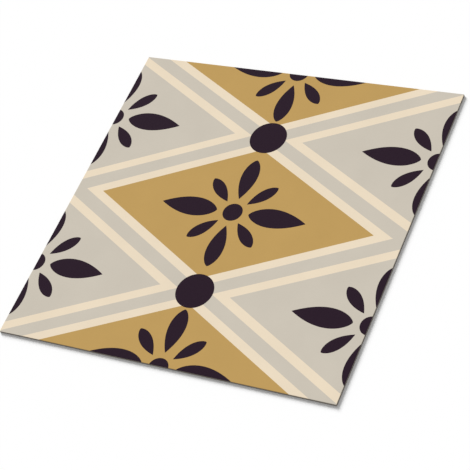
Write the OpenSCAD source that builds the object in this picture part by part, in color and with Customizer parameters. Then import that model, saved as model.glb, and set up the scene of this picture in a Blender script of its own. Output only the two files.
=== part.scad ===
// Square resilient floor tile, cut from one calendered vinyl sheet.
// The origin is the centre of the back face, which the adhesive holds to the floor.
// +Z points up to the printed wear face, and the cut sides face X and Y.

/* [Tile] */
// Length of the tile's side along X
tile_length = 300; // [100:1:610]
// Length of the tile's side along Y
tile_width = 300; // [100:1:610]
// Thickness from the back face to the wear face
tile_thickness = 2; // [1:0.1:6]

/* [Edges] */
// Radius that eases the rim of the wear face
rim_radius = 0.25; // [0.05:0.05:0.5]

/* [Hidden] */
$fn = 64;
wear_face_colour = [0.80, 0.76, 0.71];

// Section across the sheet: square at the back face, eased at both top corners
module section(width) {
    flat_width = width - 2 * rim_radius;
    shoulder_height = tile_thickness - rim_radius;
    translate([-width / 2, 0]) square([width, shoulder_height]);
    translate([-flat_width / 2, 0]) square([flat_width, tile_thickness]);
    for (side = [-1, 1])
        translate([side * flat_width / 2, shoulder_height]) circle(r = rim_radius);
}

// Strip of that section, lying along Y and centred on the origin
module strip(width, length) {
    rotate([90, 0, 0]) linear_extrude(length, center = true) section(width);
}

// Two crossed strips share only the tile, so the eased rims meet in a mitre at each corner
module tile() {
    color(wear_face_colour)
    intersection() {
        strip(tile_length, tile_width);
        rotate([0, 0, 90]) strip(tile_width, tile_length);
    }
}

tile();
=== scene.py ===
# Looks of the square vinyl floor tile: the printed wear face, the eased rim, the cut sides and the back.
# Everything is in metres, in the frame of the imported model. The print is laid out in millimetres.
import math

import bmesh
import bpy
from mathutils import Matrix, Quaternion, Vector
from mathutils.geometry import delaunay_2d_cdt


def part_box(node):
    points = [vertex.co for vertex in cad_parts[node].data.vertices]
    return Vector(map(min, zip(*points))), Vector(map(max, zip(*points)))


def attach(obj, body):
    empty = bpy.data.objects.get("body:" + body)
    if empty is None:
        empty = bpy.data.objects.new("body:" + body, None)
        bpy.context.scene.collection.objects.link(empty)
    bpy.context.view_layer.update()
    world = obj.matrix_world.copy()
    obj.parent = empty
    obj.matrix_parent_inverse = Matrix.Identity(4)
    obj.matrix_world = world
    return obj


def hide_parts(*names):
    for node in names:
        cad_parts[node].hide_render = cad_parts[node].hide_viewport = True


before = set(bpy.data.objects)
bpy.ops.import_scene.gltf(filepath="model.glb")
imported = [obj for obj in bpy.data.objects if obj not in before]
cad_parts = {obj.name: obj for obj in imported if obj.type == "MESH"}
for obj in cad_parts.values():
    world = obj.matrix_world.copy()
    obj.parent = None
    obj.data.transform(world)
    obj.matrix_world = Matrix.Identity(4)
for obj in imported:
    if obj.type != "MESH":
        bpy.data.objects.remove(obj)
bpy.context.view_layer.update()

MM = 0.001

# Tile
TILE_LOW, TILE_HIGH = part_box("tile")
RIM_RADIUS = 0.25 * MM
RIM_STEPS = 5
HALF_X = (TILE_HIGH[0] - TILE_LOW[0]) / 2
HALF_Y = (TILE_HIGH[1] - TILE_LOW[1]) / 2
THICKNESS = TILE_HIGH[2] - TILE_LOW[2]

# Print, in millimetres from the middle of the tile
PITCH = 151.5  # from the middle flower to the flowers that the tile's sides cut
ROW = 78.9  # height of the dots and of the grey lozenges above and below the middle
BORDER = 8.5  # height of the cream border along a lozenge's sides
MIDDLE_LOZENGE = (124.7, 66.0)  # half width and half height of a field, without its border
END_LOZENGE = (114.5, 59.7)
GREY_LOZENGE = (120.0, 62.6)
DOT_RADIUS = 16.25
DISC_RADIUS = 8.65
GREY_FLOWER_DROP = (0.3, 1.1)  # how far the flowers of the upper and lower row sit below their row

# Petals: the end nearest the flower's middle, the length, and which end is the blunt one
LONG_PETAL = (14.5, 51.4, "inner")
UPRIGHT_PETAL = (13.6, 41.0, "outer")
SLANTED_PETAL = (13.1, 29.2, "outer")
SLANT_OFFSET = 0.3  # along each axis, which moves the slanted petals towards the upright ones
PETAL_ASPECT = 0.181  # half width over length
SHARP_END = 1.0  # power of the distance from the sharp tip
BLUNT_END = 0.71  # power of the distance from the blunt tip
PETAL_POINTS = 28  # along each side
ROUND_POINTS = 96

# Colours, as 8-bit sRGB
GOLD = (190, 155, 93)
CREAM = (235, 219, 194)
GREY = (203, 195, 181)
INK = (36, 21, 34)
VINYL = (136, 128, 119)

# Wear film: its faint clouds, dots of ink and fine emboss
FILM_CLOUDS = 35 * MM
FILM_DOTS = 0.4 * MM
FILM_TONES = 0.04  # how much darker and lighter than its colour the film gets, as a share of it
FILM_GRAIN = 0.8 * MM
FILM_RELIEF = 0.03 * MM
FILM_ROUGHNESS = (0.48, 0.60)
FILM_GLOSS = 0.1

# Filled vinyl: the specks and drag marks of the cut sides, and the roller's grain on the back
SPECKS = 0.35 * MM
SPECK_TONES = 0.25
DRAG_MARKS = 0.4 * MM
DRAG_STRETCH = (1, 1, 0.1)
DRAG_RELIEF = 0.05 * MM
SIDE_ROUGHNESS = (0.6, 0.75)
BACK_CLOUDS = 20 * MM
BACK_TONES = 0.05
BACK_GRAIN = 0.8 * MM
BACK_RELIEF = 0.03 * MM
BACK_RELIEF_STRENGTH = 0.6
BACK_ROUGHNESS = (0.68, 0.8)
VINYL_GLOSS = 0.15

# Noise values lie mostly between these two
NOISE_LOW = 0.3
NOISE_HIGH = 0.7

# Sockets of a Mix node that mixes colours
MIX_FIRST = 6
MIX_SECOND = 7
MIX_RESULT = 2

# Map that textures are baked through: cells for the materials, and bands for the cut sides in one cell
MAP_COLUMNS = 3
MAP_ROWS = 2
CELL_GAP = 0.025
SIDE_BANDS = 4
BAND_GAP = 0.1

# Floor
FLOOR_REACH = 20.0
FLOOR_CLEARANCE = 0.02 * MM
FLOOR_ALBEDO = 0.8

# Light: the share of the light on a level surface that comes from the lamp, and the rest from all round
LAMP_SHARE = 0.6
LAMP_ELEVATION = 24.5
LAMP_AZIMUTH = 228.5
LAMP_WIDTH = 24

# Camera, aimed at a point of the wear face. An azimuth of 0 looks along +Y, and 90 looks along -X
CAMERA_AZIMUTH = 43.2
CAMERA_ELEVATION = 49.24
CAMERA_ROLL = -25.64
CAMERA_DISTANCE = 1.275
CAMERA_AIM = Vector((11.3 * MM, -21.15 * MM, THICKNESS))
CAMERA_LENS = 121.5


def linear(colour, factor=1.0):
    """Turns an 8-bit sRGB colour into a linear one, made lighter or darker by a factor."""
    parts = [c / 255 for c in colour]
    parts = [p / 12.92 if p <= 0.04045 else ((p + 0.055) / 1.055) ** 2.4 for p in parts]
    return (*[min(p * factor, 1.0) for p in parts], 1.0)


# Outlines of the print


def lozenge(centre, half_size, border=0.0):
    """Corners of a lozenge, with a border of the given height outside its sides."""
    x, y = centre
    width, height = half_size
    grown = (height + border) / height
    across, up = width * grown, height * grown
    return [(x + across, y), (x, y + up), (x - across, y), (x, y - up)]


def disc(centre, radius):
    """Points round a circle."""
    turns = [2 * math.pi * i / ROUND_POINTS for i in range(ROUND_POINTS)]
    return [(centre[0] + radius * math.cos(t), centre[1] + radius * math.sin(t)) for t in turns]


def petal(centre, angle, start, length, blunt):
    """A leaf that points away from a flower's middle, sharp at one end and blunt at the other."""
    widest = SHARP_END / (SHARP_END + BLUNT_END)
    upper, lower = [], []
    for i in range(PETAL_POINTS + 1):
        along = (1 - math.cos(math.pi * i / PETAL_POINTS)) / 2
        from_sharp = 1 - along if blunt == "inner" else along
        width = (from_sharp / widest) ** SHARP_END * ((1 - from_sharp) / (1 - widest)) ** BLUNT_END
        width *= PETAL_ASPECT * length
        upper.append((start + along * length, width))
        lower.append((start + along * length, -width))
    cos, sin = math.cos(math.radians(angle)), math.sin(math.radians(angle))
    outline = lower + upper[-2:0:-1]
    return [(centre[0] + x * cos - y * sin, centre[1] + x * sin + y * cos) for x, y in outline]


def flower(centre):
    """Disc and eight petals of one flower."""
    shapes = [disc(centre, DISC_RADIUS)]
    shapes += [petal(centre, angle, *LONG_PETAL) for angle in (0, 180)]
    shapes += [petal(centre, angle, *UPRIGHT_PETAL) for angle in (90, 270)]
    for right, up in ((1, 1), (-1, 1), (-1, -1), (1, -1)):
        origin = (centre[0] - SLANT_OFFSET * right, centre[1] + SLANT_OFFSET * up)
        shapes.append(petal(origin, math.degrees(math.atan2(up, right)), *SLANTED_PETAL))
    return shapes


def print_layers():
    """Every printed shape with its colour's name, from the lowest to the topmost."""
    gold_fields = [((0, 0), MIDDLE_LOZENGE), ((0, PITCH), END_LOZENGE), ((0, -PITCH), END_LOZENGE)]
    corners = [(x, y) for x in (-PITCH, PITCH) for y in (ROW, -ROW)]
    grey_fields = [(corner, GREY_LOZENGE) for corner in corners]
    layers = [("cream", lozenge(*field, BORDER)) for field in gold_fields + grey_fields]
    layers += [("gold", lozenge(*field)) for field in gold_fields]
    layers += [("grey", lozenge(*field)) for field in grey_fields]
    middles = [centre for centre, size in gold_fields]
    middles += [(x, y - GREY_FLOWER_DROP[0 if y > 0 else 1]) for x, y in corners]
    for middle in middles:
        layers += [("ink", shape) for shape in flower(middle)]
    layers += [("ink", disc((0, y), DOT_RADIUS)) for y in (ROW, -ROW)]
    return layers


# Materials


def add_node(tree, kind, inputs, **options):
    """Adds a node, sets its options and fills its inputs with values or with other nodes' outputs."""
    node = tree.nodes.new(kind)
    for name, value in options.items():
        setattr(node, name, value)
    for name, value in inputs.items():
        if isinstance(value, bpy.types.NodeSocket):
            tree.links.new(value, node.inputs[name])
        else:
            node.inputs[name].default_value = value
    return node


def grain(tree, place, size, detail=2.0, stretch=(1, 1, 1)):
    """Noise from 0 to 1 whose features are about size metres across."""
    scaled = add_node(
        tree,
        "ShaderNodeVectorMath",
        {0: place, 1: tuple(s / size for s in stretch)},
        operation="MULTIPLY",
    )
    noise = add_node(
        tree,
        "ShaderNodeTexNoise",
        {"Vector": scaled.outputs[0], "Scale": 1.0, "Detail": detail, "Roughness": 0.5},
    )
    return noise.outputs["Fac"]


def spread(tree, value, low, high):
    """Maps most of a noise's values to the range from low to high."""
    mapped = add_node(
        tree,
        "ShaderNodeMapRange",
        {"Value": value, "From Min": NOISE_LOW, "From Max": NOISE_HIGH, "To Min": low, "To Max": high},
    )
    return mapped.outputs["Result"]


def mix_colours(tree, factor, first, second):
    """Colour that runs from the first to the second as the factor goes from 0 to 1."""
    mixed = add_node(
        tree,
        "ShaderNodeMix",
        {"Factor": factor, MIX_FIRST: first, MIX_SECOND: second},
        data_type="RGBA",
    )
    return mixed.outputs[MIX_RESULT]


def tones(tree, noise, colour, variation):
    """Colour that runs from a little darker to a little lighter with the noise."""
    darker, lighter = linear(colour, 1 - variation), linear(colour, 1 + variation)
    return mix_colours(tree, spread(tree, noise, 0.0, 1.0), darker, lighter)


def relief(tree, noise, height, strength=1.0):
    """Normal of a surface that the noise raises by up to the given height."""
    bump = add_node(
        tree,
        "ShaderNodeBump",
        {"Height": noise, "Strength": strength, "Distance": height},
    )
    return bump.outputs["Normal"]


def new_material(name):
    """A new material with its node tree, and the place of each point in the tile's frame."""
    material = bpy.data.materials.new(name)
    material.use_nodes = True
    tree = material.node_tree
    return material, tree, tree.nodes.new("ShaderNodeTexCoord").outputs["Object"]


def set_shader(tree, colour, roughness, normal, gloss):
    """Sets what the material's shader takes from the nodes, and how much light its surface mirrors."""
    shader = tree.nodes["Principled BSDF"]
    tree.links.new(colour, shader.inputs["Base Color"])
    tree.links.new(roughness, shader.inputs["Roughness"])
    tree.links.new(normal, shader.inputs["Normal"])
    shader.inputs["Specular IOR Level"].default_value = gloss


def printed_film(name, colour):
    """One printed colour under the clear wear layer: faint clouds and dots of ink, and a fine emboss."""
    material, tree, place = new_material(name)
    clouds = grain(tree, place, FILM_CLOUDS, detail=3.0)
    dots = grain(tree, place, FILM_DOTS, detail=1.0)
    both = add_node(tree, "ShaderNodeMath", {0: clouds, 1: dots}, operation="ADD")
    mean = add_node(tree, "ShaderNodeMath", {0: both.outputs[0], 1: 0.5}, operation="MULTIPLY")
    pores = grain(tree, place, FILM_GRAIN)
    set_shader(
        tree,
        colour=tones(tree, mean.outputs[0], colour, FILM_TONES),
        roughness=spread(tree, pores, *FILM_ROUGHNESS),
        normal=relief(tree, pores, FILM_RELIEF),
        gloss=FILM_GLOSS,
    )
    return material


def cut_side(name, colour):
    """Filled vinyl where the tile is punched out: pale filler specks and upright drag marks."""
    material, tree, place = new_material(name)
    specks = grain(tree, place, SPECKS, detail=3.0)
    marks = grain(tree, place, DRAG_MARKS, stretch=DRAG_STRETCH)
    set_shader(
        tree,
        colour=tones(tree, specks, colour, SPECK_TONES),
        roughness=spread(tree, specks, *SIDE_ROUGHNESS),
        normal=relief(tree, marks, DRAG_RELIEF),
        gloss=VINYL_GLOSS,
    )
    return material


def plain_back(name, colour):
    """Back of the filled vinyl, as it leaves the roller: even and matt, with a fine grain."""
    material, tree, place = new_material(name)
    clouds = grain(tree, place, BACK_CLOUDS, detail=4.0)
    set_shader(
        tree,
        colour=tones(tree, clouds, colour, BACK_TONES),
        roughness=spread(tree, clouds, *BACK_ROUGHNESS),
        normal=relief(tree, grain(tree, place, BACK_GRAIN), BACK_RELIEF, BACK_RELIEF_STRENGTH),
        gloss=VINYL_GLOSS,
    )
    return material


MATERIALS = {
    "grey": printed_film("print_grey", GREY),
    "cream": printed_film("print_cream", CREAM),
    "gold": printed_film("print_gold", GOLD),
    "ink": printed_film("print_ink", INK),
    "side": cut_side("cut_side", VINYL),
    "back": plain_back("plain_back", VINYL),
}
SLOTS = list(MATERIALS)


# Mesh of the tile


def printed_face(mesh):
    """Cuts the flat part of the wear face along the printed outlines, so each triangle has one colour."""
    flat_x, flat_y = (HALF_X - RIM_RADIUS) / MM, (HALF_Y - RIM_RADIUS) / MM
    sheet = [(flat_x, -flat_y), (flat_x, flat_y), (-flat_x, flat_y), (-flat_x, -flat_y)]
    layers = [("grey", sheet), *print_layers()]
    points, outlines = [], []
    for colour, outline in layers:
        outlines.append(range(len(points), len(points) + len(outline)))
        points += [Vector(point) for point in outline]
    inside_outlines, precision = 1, 1e-4
    places, _, triangles, _, _, covers = delaunay_2d_cdt(
        points, [], [list(outline) for outline in outlines], inside_outlines, precision
    )
    vertices = [mesh.verts.new((x * MM, y * MM, THICKNESS)) for x, y in places]
    for corners, cover in zip(triangles, covers):
        if 0 not in cover:
            continue
        face = mesh.faces.new([vertices[i] for i in corners])
        face.material_index = SLOTS.index(layers[max(cover)][0])
    loose = [vertex for vertex in mesh.verts if not vertex.link_faces]
    bmesh.ops.delete(mesh, geom=loose, context="VERTS")


def border_loop(mesh):
    """The border as pairs of neighbouring vertices, anticlockwise from above, with their colour."""
    pairs = []
    for edge in mesh.edges:
        if edge.is_boundary:
            loop = edge.link_loops[0]
            pairs.append((loop.vert, loop.link_loop_next.vert, loop.face.material_index))
    return pairs


def skirt(mesh, pairs, place, slot=None, smooth=False):
    """Adds a strip of faces from the border to each vertex's new place, and returns the new border."""
    moved = {a: mesh.verts.new(place(a)) for a, b, colour in pairs}
    for a, b, colour in pairs:
        face = mesh.faces.new((b, a, moved[a], moved[b]))
        face.material_index = colour if slot is None else SLOTS.index(slot)
        face.smooth = smooth
    return [(moved[a], moved[b], colour) for a, b, colour in pairs]


def outward(vertex, distance, height):
    """A place at that distance outside the flat face's border, square to it, and at that height."""
    flat = (HALF_X - RIM_RADIUS, HALF_Y - RIM_RADIUS)
    tolerance = 0.001 * MM
    across = []
    for value, limit in zip(vertex.co, flat):
        at_border = abs(value) > limit - tolerance
        across.append(math.copysign(limit + distance, value) if at_border else value)
    return (*across, height)


def eased_rim(mesh, border):
    """Turns the wear face down by a quarter circle in the print's colours, and returns the new border."""
    for step in range(1, RIM_STEPS + 1):
        turn = math.pi / 2 * step / RIM_STEPS
        out = RIM_RADIUS * math.sin(turn)
        height = THICKNESS - RIM_RADIUS * (1 - math.cos(turn))
        border = skirt(mesh, border, lambda v: outward(v, out, height), smooth=True)
    return border


def cut_sides(mesh, border):
    """Goes straight down to the back's level, and returns the new border."""
    return skirt(mesh, border, lambda v: (v.co.x, v.co.y, 0.0), slot="side")


def flat_back(mesh, border):
    """Closes the tile from below."""
    follow = {a: b for a, b, colour in border}
    ring = [border[0][0]]
    while follow[ring[-1]] is not ring[0]:
        ring.append(follow[ring[-1]])
    back = mesh.faces.new(reversed(ring))
    back.material_index = SLOTS.index("back")
    bmesh.ops.triangulate(mesh, faces=[back])


def tile_mesh():
    """The whole tile as one closed mesh, with its colours as material slots."""
    mesh = bmesh.new()
    printed_face(mesh)
    border = border_loop(mesh)
    border = eased_rim(mesh, border)
    border = cut_sides(mesh, border)
    flat_back(mesh, border)
    mesh.normal_update()
    lay_bake_map(mesh)
    data = bpy.data.meshes.new("printed_tile")
    mesh.to_mesh(data)
    mesh.free()
    return data


def lay_bake_map(mesh):
    """Gives each material a cell of its own in the bake's map, so that no colours run together."""
    layer = mesh.loops.layers.uv.new("OFBake")
    for face in mesh.faces:
        column, row = face.material_index % MAP_COLUMNS, face.material_index // MAP_COLUMNS
        for loop in face.loops:
            x, y, z = loop.vert.co
            u, v = x / (2 * HALF_X) + 0.5, y / (2 * HALF_Y) + 0.5
            if SLOTS[face.material_index] == "side":
                u, v = side_place(face.normal, u, v, z)
            loop[layer].uv = (
                (column + CELL_GAP + u * (1 - 2 * CELL_GAP)) / MAP_COLUMNS,
                (row + CELL_GAP + v * (1 - 2 * CELL_GAP)) / MAP_ROWS,
            )


def side_place(normal, u, v, z):
    """Stacks the four cut sides as bands of one cell, each as long as the cell is wide."""
    faces_x = abs(normal.x) > abs(normal.y)
    band = 0 if faces_x else 2
    if (normal.x if faces_x else normal.y) > 0:
        band += 1
    across = v if faces_x else u
    return across, (band + BAND_GAP + (1 - 2 * BAND_GAP) * z / THICKNESS) / SIDE_BANDS


def build_tile():
    """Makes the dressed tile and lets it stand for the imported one."""
    data = tile_mesh()
    for material in MATERIALS.values():
        data.materials.append(material)
    tile = bpy.data.objects.new("printed_tile", data)
    bpy.context.scene.collection.objects.link(tile)
    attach(tile, "root")
    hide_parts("tile")


# Stage, light and camera


def direction(azimuth, elevation):
    """Direction from the tile to a place that sees it at that azimuth and elevation, in degrees."""
    turn, rise = math.radians(azimuth), math.radians(elevation)
    return Vector(
        (
            math.sin(turn) * math.cos(rise),
            -math.cos(turn) * math.cos(rise),
            math.sin(rise),
        )
    )


def sees_background(tree):
    """1 for rays that show the background, straight, in gloss or in glass, and 0 for all others."""
    rays = tree.nodes.new("ShaderNodeLightPath").outputs
    straight = add_node(
        tree, "ShaderNodeMath", {0: rays["Is Camera Ray"], 1: rays["Is Glossy Ray"]}, operation="MAXIMUM"
    )
    either = add_node(
        tree,
        "ShaderNodeMath",
        {0: straight.outputs[0], 1: rays["Is Transmission Ray"]},
        operation="MAXIMUM",
    )
    return either.outputs[0]


def build_floor():
    """A plain white floor that goes on to the horizon and keeps the tile's shadow."""
    data = bpy.data.meshes.new("floor")
    corners = [(FLOOR_REACH * x, FLOOR_REACH * y) for x, y in ((-1, -1), (1, -1), (1, 1), (-1, 1))]
    data.from_pydata([(x, y, -FLOOR_CLEARANCE) for x, y in corners], [], [(0, 1, 2, 3)])
    material = bpy.data.materials.new("white_floor")
    material.use_nodes = True
    tree = material.node_tree
    shader = tree.nodes["Principled BSDF"]
    lit = (FLOOR_ALBEDO, FLOOR_ALBEDO, FLOOR_ALBEDO, 1.0)
    seen = (1.0, 1.0, 1.0, 1.0)
    white = mix_colours(tree, sees_background(tree), lit, seen)
    tree.links.new(white, shader.inputs["Base Color"])
    shader.inputs["Roughness"].default_value = 1.0
    shader.inputs["Specular IOR Level"].default_value = 0.0
    data.materials.append(material)
    floor = bpy.data.objects.new("floor", data)
    bpy.context.scene.collection.objects.link(floor)


def build_light():
    """One broad soft lamp low beyond the tile's far left corner, and even light from all round."""
    towards = direction(LAMP_AZIMUTH, LAMP_ELEVATION)
    lamp = bpy.data.lights.new("softbox", "SUN")
    lamp.angle = math.radians(LAMP_WIDTH)
    lamp.energy = math.pi * LAMP_SHARE / towards.z
    softbox = bpy.data.objects.new("softbox", lamp)
    softbox.rotation_mode = "QUATERNION"
    softbox.rotation_quaternion = towards.to_track_quat("Z", "Y")
    softbox.visible_glossy = False
    bpy.context.scene.collection.objects.link(softbox)

    world = bpy.data.worlds.new("studio")
    bpy.context.scene.world = world
    world.use_nodes = True
    tree = world.node_tree
    strength = add_node(
        tree,
        "ShaderNodeMapRange",
        {"Value": sees_background(tree), "To Min": 1 - LAMP_SHARE, "To Max": 1.0},
    )
    background = tree.nodes["Background"]
    background.inputs["Color"].default_value = (1.0, 1.0, 1.0, 1.0)
    tree.links.new(strength.outputs["Result"], background.inputs["Strength"])


def build_camera():
    """A camera at the photograph's angle, rolled so that the tile's near corner points down and right."""
    back = direction(CAMERA_AZIMUTH, CAMERA_ELEVATION)
    data = bpy.data.cameras.new("camera")
    data.lens = CAMERA_LENS
    camera = bpy.data.objects.new("camera", data)
    camera.location = CAMERA_AIM + back * CAMERA_DISTANCE
    camera.rotation_mode = "QUATERNION"
    level = (-back).to_track_quat("-Z", "Y")
    camera.rotation_quaternion = level @ Quaternion((0, 0, 1), math.radians(CAMERA_ROLL))
    bpy.context.scene.collection.objects.link(camera)
    bpy.context.scene.camera = camera


build_tile()
build_floor()
build_light()
build_camera()
bpy.context.scene.view_settings.view_transform = "Standard"
